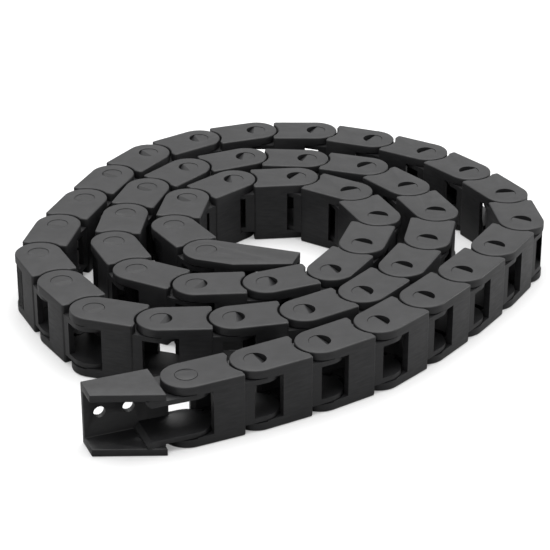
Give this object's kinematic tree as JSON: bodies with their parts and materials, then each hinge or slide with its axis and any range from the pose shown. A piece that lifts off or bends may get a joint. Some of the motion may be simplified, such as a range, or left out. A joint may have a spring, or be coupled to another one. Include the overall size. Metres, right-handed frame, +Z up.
{
  "type": "cable drag chain",
  "caption": "Plastic drag chain that carries cables to a moving machine part: snapped links that bend one way, coiled flat, with a screw bracket at each end.",
  "frame": {"origin": "on the surface that the coil lies on, under the middle of its bounding box", "axes": "+Z up, along the pivots; +X along the outer bracket, from its free end to its pivot; +Y from the tail to the coil"},
  "size_m": [0.1648, 0.1632, 0.0186],
  "materials": {
    "chain_plastic": "moulded nylon, matt"
  },
  "bodies": {
    "outer_bracket": {"outer_bracket": "chain_plastic"},
    "link_01": {"link_01": "chain_plastic"},
    "link_02": {"link_02": "chain_plastic"},
    "link_03": {"link_03": "chain_plastic"},
    "link_04": {"link_04": "chain_plastic"},
    "link_05": {"link_05": "chain_plastic"},
    "link_06": {"link_06": "chain_plastic"},
    "link_07": {"link_07": "chain_plastic"},
    "link_08": {"link_08": "chain_plastic"},
    "link_09": {"link_09": "chain_plastic"},
    "link_10": {"link_10": "chain_plastic"},
    "link_11": {"link_11": "chain_plastic"},
    "link_12": {"link_12": "chain_plastic"},
    "link_13": {"link_13": "chain_plastic"},
    "link_14": {"link_14": "chain_plastic"},
    "link_15": {"link_15": "chain_plastic"},
    "link_16": {"link_16": "chain_plastic"},
    "link_17": {"link_17": "chain_plastic"},
    "link_18": {"link_18": "chain_plastic"},
    "link_19": {"link_19": "chain_plastic"},
    "link_20": {"link_20": "chain_plastic"},
    "link_21": {"link_21": "chain_plastic"},
    "link_22": {"link_22": "chain_plastic"},
    "link_23": {"link_23": "chain_plastic"},
    "link_24": {"link_24": "chain_plastic"},
    "link_25": {"link_25": "chain_plastic"},
    "link_26": {"link_26": "chain_plastic"},
    "link_27": {"link_27": "chain_plastic"},
    "link_28": {"link_28": "chain_plastic"},
    "link_29": {"link_29": "chain_plastic"},
    "link_30": {"link_30": "chain_plastic"},
    "link_31": {"link_31": "chain_plastic"},
    "link_32": {"link_32": "chain_plastic"},
    "link_33": {"link_33": "chain_plastic"},
    "link_34": {"link_34": "chain_plastic"},
    "link_35": {"link_35": "chain_plastic"},
    "link_36": {"link_36": "chain_plastic"},
    "link_37": {"link_37": "chain_plastic"},
    "link_38": {"link_38": "chain_plastic"},
    "link_39": {"link_39": "chain_plastic"},
    "link_40": {"link_40": "chain_plastic"},
    "link_41": {"link_41": "chain_plastic"},
    "link_42": {"link_42": "chain_plastic"},
    "link_43": {"link_43": "chain_plastic"},
    "link_44": {"link_44": "chain_plastic"},
    "link_45": {"link_45": "chain_plastic"},
    "link_46": {"link_46": "chain_plastic"},
    "link_47": {"link_47": "chain_plastic"},
    "link_48": {"link_48": "chain_plastic"},
    "inner_bracket": {"inner_bracket": "chain_plastic"}
  },
  "joints": [
    {"name": "pivot_17", "type": "hinge", "parent": "link_18", "child": "link_17", "pos_m": [-0.04717, 0.04312, 0.0093], "axis": [0, 0, -1], "range_deg": [-2, 0]},
    {"name": "pivot_18", "type": "hinge", "parent": "link_19", "child": "link_18", "pos_m": [-0.06029, 0.02802, 0.0093], "axis": [0, 0, -1], "range_deg": [-8, 33.8]},
    {"name": "pivot_19", "type": "hinge", "parent": "link_20", "child": "link_19", "pos_m": [-0.07118, 0.01125, 0.0093], "axis": [0, 0, -1], "range_deg": [-36, 5.8]},
    {"name": "pivot_20", "type": "hinge", "parent": "link_21", "child": "link_20", "pos_m": [-0.07014, -0.00872, 0.0093], "axis": [0, 0, -1], "range_deg": [-7, 34.8]},
    {"name": "pivot_21", "type": "hinge", "parent": "link_22", "child": "link_21", "pos_m": [-0.06666, -0.02842, 0.0093], "axis": [0, 0, -1], "range_deg": [-40, 1.8]},
    {"name": "pivot_22", "type": "hinge", "parent": "link_23", "child": "link_22", "pos_m": [-0.05134, -0.04127, 0.0093], "axis": [0, 0, -1], "range_deg": [-21, 20.8]},
    {"name": "pivot_23", "type": "hinge", "parent": "link_24", "child": "link_23", "pos_m": [-0.03243, -0.04779, 0.0093], "axis": [0, 0, -1], "range_deg": [-10, 31.8]},
    {"name": "pivot_24", "type": "hinge", "parent": "link_25", "child": "link_24", "pos_m": [-0.01268, -0.05092, 0.0093], "axis": [0, 0, -1], "range_deg": [-21, 20.8]},
    {"name": "pivot_25", "type": "hinge", "parent": "link_26", "child": "link_25", "pos_m": [0.00688, -0.04676, 0.0093], "axis": [0, 0, -1], "range_deg": [-19, 22.8]},
    {"name": "pivot_26", "type": "hinge", "parent": "link_27", "child": "link_26", "pos_m": [0.02403, -0.03646, 0.0093], "axis": [0, 0, -1], "range_deg": [-12, 29.8]},
    {"name": "pivot_27", "type": "hinge", "parent": "link_28", "child": "link_27", "pos_m": [0.03865, -0.02282, 0.0093], "axis": [0, 0, -1], "range_deg": [-14, 27.8]},
    {"name": "pivot_28", "type": "hinge", "parent": "link_29", "child": "link_28", "pos_m": [0.04955, -0.00604, 0.0093], "axis": [0, 0, -1], "range_deg": [-33, 8.8]},
    {"name": "pivot_29", "type": "hinge", "parent": "link_30", "child": "link_29", "pos_m": [0.04955, 0.01396, 0.0093], "axis": [0, 0, -1], "range_deg": [-16, 25.8]},
    {"name": "pivot_30", "type": "hinge", "parent": "link_31", "child": "link_30", "pos_m": [0.04403, 0.03318, 0.0093], "axis": [0, 0, -1], "range_deg": [-34, 7.8]},
    {"name": "pivot_31", "type": "hinge", "parent": "link_31", "child": "link_32", "pos_m": [0.02871, 0.04604, 0.0093], "axis": [0, 0, 1], "range_deg": [-14, 27.8]},
    {"name": "pivot_32", "type": "hinge", "parent": "link_32", "child": "link_33", "pos_m": [0.01074, 0.0548, 0.0093], "axis": [0, 0, 1], "range_deg": [-29, 12.8]},
    {"name": "pivot_33", "type": "hinge", "parent": "link_33", "child": "link_34", "pos_m": [-0.00924, 0.05376, 0.0093], "axis": [0, 0, 1], "range_deg": [-27, 14.8]},
    {"name": "pivot_34", "type": "hinge", "parent": "link_34", "child": "link_35", "pos_m": [-0.02656, 0.04376, 0.0093], "axis": [0, 0, 1], "range_deg": [-22, 19.8]},
    {"name": "pivot_35", "type": "hinge", "parent": "link_35", "child": "link_36", "pos_m": [-0.03887, 0.028, 0.0093], "axis": [0, 0, 1], "range_deg": [-10, 31.8]},
    {"name": "pivot_36", "type": "hinge", "parent": "link_36", "child": "link_37", "pos_m": [-0.04826, 0.01034, 0.0093], "axis": [0, 0, 1], "range_deg": [-29, 12.8]},
    {"name": "pivot_37", "type": "hinge", "parent": "link_37", "child": "link_38", "pos_m": [-0.04791, -0.00966, 0.0093], "axis": [0, 0, 1], "range_deg": [-39, 2.8]},
    {"name": "pivot_38", "type": "hinge", "parent": "link_38", "child": "link_39", "pos_m": [-0.03505, -0.02498, 0.0093], "axis": [0, 0, 1], "range_deg": [-32, 9.8]},
    {"name": "pivot_39", "type": "hinge", "parent": "link_39", "child": "link_40", "pos_m": [-0.01603, -0.03116, 0.0093], "axis": [0, 0, 1], "range_deg": [-19, 22.8]},
    {"name": "pivot_40", "type": "hinge", "parent": "link_40", "child": "link_41", "pos_m": [0.00396, -0.03081, 0.0093], "axis": [0, 0, 1], "range_deg": [-38, 3.8]},
    {"name": "pivot_41", "type": "hinge", "parent": "link_41", "child": "link_42", "pos_m": [0.01951, -0.01822, 0.0093], "axis": [0, 0, 1], "range_deg": [-13, 28.8]},
    {"name": "pivot_42", "type": "hinge", "parent": "link_42", "child": "link_43", "pos_m": [0.03182, -0.00246, 0.0093], "axis": [0, 0, 1], "range_deg": [-39, 2.8]},
    {"name": "pivot_43", "type": "hinge", "parent": "link_43", "child": "link_44", "pos_m": [0.03147, 0.01753, 0.0093], "axis": [0, 0, 1], "range_deg": [-34, 7.8]},
    {"name": "pivot_44", "type": "hinge", "parent": "link_44", "child": "link_45", "pos_m": [0.02, 0.03392, 0.0093], "axis": [0, 0, 1], "range_deg": [-39, 2.8]},
    {"name": "pivot_45", "type": "hinge", "parent": "link_45", "child": "link_46", "pos_m": [0.00077, 0.03943, 0.0093], "axis": [0, 0, 1], "range_deg": [-39, 2.8]},
    {"name": "pivot_46", "type": "hinge", "parent": "link_46", "child": "link_47", "pos_m": [-0.01764, 0.03161, 0.0093], "axis": [0, 0, 1], "range_deg": [-36, 5.8]},
    {"name": "pivot_47", "type": "hinge", "parent": "link_47", "child": "link_48", "pos_m": [-0.02794, 0.01447, 0.0093], "axis": [0, 0, 1], "range_deg": [-40, 1.8]},
    {"name": "pivot_48", "type": "hinge", "parent": "link_48", "child": "inner_bracket", "pos_m": [-0.02481, -0.00528, 0.0093], "axis": [0, 0, 1], "range_deg": [-41, 0.8]},
    {"name": "pivot_16", "type": "hinge", "parent": "link_17", "child": "link_16", "pos_m": [-0.03353, 0.05774, 0.0093], "axis": [0, 0, -1], "range_deg": [-11, 30.8]},
    {"name": "pivot_15", "type": "hinge", "parent": "link_16", "child": "link_15", "pos_m": [-0.01735, 0.0695, 0.0093], "axis": [0, 0, -1], "range_deg": [-21, 20.8]},
    {"name": "pivot_14", "type": "hinge", "parent": "link_15", "child": "link_14", "pos_m": [0.00197, 0.07468, 0.0093], "axis": [0, 0, -1], "range_deg": [-17, 24.8]},
    {"name": "pivot_13", "type": "hinge", "parent": "link_14", "child": "link_13", "pos_m": [0.02196, 0.07398, 0.0093], "axis": [0, 0, -1], "range_deg": [-20, 21.8]},
    {"name": "pivot_12", "type": "hinge", "parent": "link_13", "child": "link_12", "pos_m": [0.0405, 0.06649, 0.0093], "axis": [0, 0, -1], "range_deg": [-21, 20.8]},
    {"name": "pivot_11", "type": "hinge", "parent": "link_12", "child": "link_11", "pos_m": [0.05513, 0.05285, 0.0093], "axis": [0, 0, -1], "range_deg": [-11, 30.8]},
    {"name": "pivot_10", "type": "hinge", "parent": "link_11", "child": "link_10", "pos_m": [0.06688, 0.03667, 0.0093], "axis": [0, 0, -1], "range_deg": [-19, 22.8]},
    {"name": "pivot_09", "type": "hinge", "parent": "link_10", "child": "link_09", "pos_m": [0.07273, 0.01754, 0.0093], "axis": [0, 0, -1], "range_deg": [-9, 32.8]},
    {"name": "pivot_08", "type": "hinge", "parent": "link_09", "child": "link_08", "pos_m": [0.07551, -0.00227, 0.0093], "axis": [0, 0, -1], "range_deg": [-22, 19.8]},
    {"name": "pivot_07", "type": "hinge", "parent": "link_08", "child": "link_07", "pos_m": [0.07068, -0.02167, 0.0093], "axis": [0, 0, -1], "range_deg": [-37, 4.8]},
    {"name": "pivot_06", "type": "hinge", "parent": "link_07", "child": "link_06", "pos_m": [0.05513, -0.03426, 0.0093], "axis": [0, 0, -1], "range_deg": [-4, 37.8]},
    {"name": "pivot_05", "type": "hinge", "parent": "link_06", "child": "link_05", "pos_m": [0.03875, -0.04573, 0.0093], "axis": [0, 0, -1], "range_deg": [-4, 37.8]},
    {"name": "pivot_04", "type": "hinge", "parent": "link_05", "child": "link_04", "pos_m": [0.02161, -0.05603, 0.0093], "axis": [0, 0, -1], "range_deg": [-5, 36.8]},
    {"name": "pivot_03", "type": "hinge", "parent": "link_04", "child": "link_03", "pos_m": [0.00363, -0.0648, 0.0093], "axis": [0, 0, -1], "range_deg": [-13, 28.8]},
    {"name": "pivot_02", "type": "hinge", "parent": "link_03", "child": "link_02", "pos_m": [-0.01586, -0.0693, 0.0093], "axis": [0, 0, -1], "range_deg": [-5, 36.8]},
    {"name": "pivot_01", "type": "hinge", "parent": "link_02", "child": "link_01", "pos_m": [-0.03566, -0.07208, 0.0093], "axis": [0, 0, -1], "range_deg": [-4, 37.8]},
    {"name": "pivot_00", "type": "hinge", "parent": "link_01", "child": "outer_bracket", "pos_m": [-0.05561, -0.07348, 0.0093], "axis": [0, 0, -1], "range_deg": [-4, 37.8]}
  ],
  "couplings": [
    {"joint": "pivot_18", "follows": "pivot_17", "ratio": 4},
    {"joint": "pivot_19", "follows": "pivot_17", "ratio": 18},
    {"joint": "pivot_20", "follows": "pivot_17", "ratio": 3.5},
    {"joint": "pivot_21", "follows": "pivot_17", "ratio": 20},
    {"joint": "pivot_22", "follows": "pivot_17", "ratio": 10.5},
    {"joint": "pivot_23", "follows": "pivot_17", "ratio": 5},
    {"joint": "pivot_24", "follows": "pivot_17", "ratio": 10.5},
    {"joint": "pivot_25", "follows": "pivot_17", "ratio": 9.5},
    {"joint": "pivot_26", "follows": "pivot_17", "ratio": 6},
    {"joint": "pivot_27", "follows": "pivot_17", "ratio": 7},
    {"joint": "pivot_28", "follows": "pivot_17", "ratio": 16.5},
    {"joint": "pivot_29", "follows": "pivot_17", "ratio": 8},
    {"joint": "pivot_30", "follows": "pivot_17", "ratio": 17},
    {"joint": "pivot_31", "follows": "pivot_17", "ratio": 7},
    {"joint": "pivot_32", "follows": "pivot_17", "ratio": 14.5},
    {"joint": "pivot_33", "follows": "pivot_17", "ratio": 13.5},
    {"joint": "pivot_34", "follows": "pivot_17", "ratio": 11},
    {"joint": "pivot_35", "follows": "pivot_17", "ratio": 5},
    {"joint": "pivot_36", "follows": "pivot_17", "ratio": 14.5},
    {"joint": "pivot_37", "follows": "pivot_17", "ratio": 19.5},
    {"joint": "pivot_38", "follows": "pivot_17", "ratio": 16},
    {"joint": "pivot_39", "follows": "pivot_17", "ratio": 9.5},
    {"joint": "pivot_40", "follows": "pivot_17", "ratio": 19},
    {"joint": "pivot_41", "follows": "pivot_17", "ratio": 6.5},
    {"joint": "pivot_42", "follows": "pivot_17", "ratio": 19.5},
    {"joint": "pivot_43", "follows": "pivot_17", "ratio": 17},
    {"joint": "pivot_44", "follows": "pivot_17", "ratio": 19.5},
    {"joint": "pivot_45", "follows": "pivot_17", "ratio": 19.5},
    {"joint": "pivot_46", "follows": "pivot_17", "ratio": 18},
    {"joint": "pivot_47", "follows": "pivot_17", "ratio": 20},
    {"joint": "pivot_48", "follows": "pivot_17", "ratio": 20.5},
    {"joint": "pivot_16", "follows": "pivot_17", "ratio": 5.5},
    {"joint": "pivot_15", "follows": "pivot_17", "ratio": 10.5},
    {"joint": "pivot_14", "follows": "pivot_17", "ratio": 8.5},
    {"joint": "pivot_13", "follows": "pivot_17", "ratio": 10},
    {"joint": "pivot_12", "follows": "pivot_17", "ratio": 10.5},
    {"joint": "pivot_11", "follows": "pivot_17", "ratio": 5.5},
    {"joint": "pivot_10", "follows": "pivot_17", "ratio": 9.5},
    {"joint": "pivot_09", "follows": "pivot_17", "ratio": 4.5},
    {"joint": "pivot_08", "follows": "pivot_17", "ratio": 11},
    {"joint": "pivot_07", "follows": "pivot_17", "ratio": 18.5},
    {"joint": "pivot_06", "follows": "pivot_17", "ratio": 2},
    {"joint": "pivot_05", "follows": "pivot_17", "ratio": 2},
    {"joint": "pivot_04", "follows": "pivot_17", "ratio": 2.5},
    {"joint": "pivot_03", "follows": "pivot_17", "ratio": 6.5},
    {"joint": "pivot_02", "follows": "pivot_17", "ratio": 2.5},
    {"joint": "pivot_01", "follows": "pivot_17", "ratio": 2},
    {"joint": "pivot_00", "follows": "pivot_17", "ratio": 2}
  ]
}
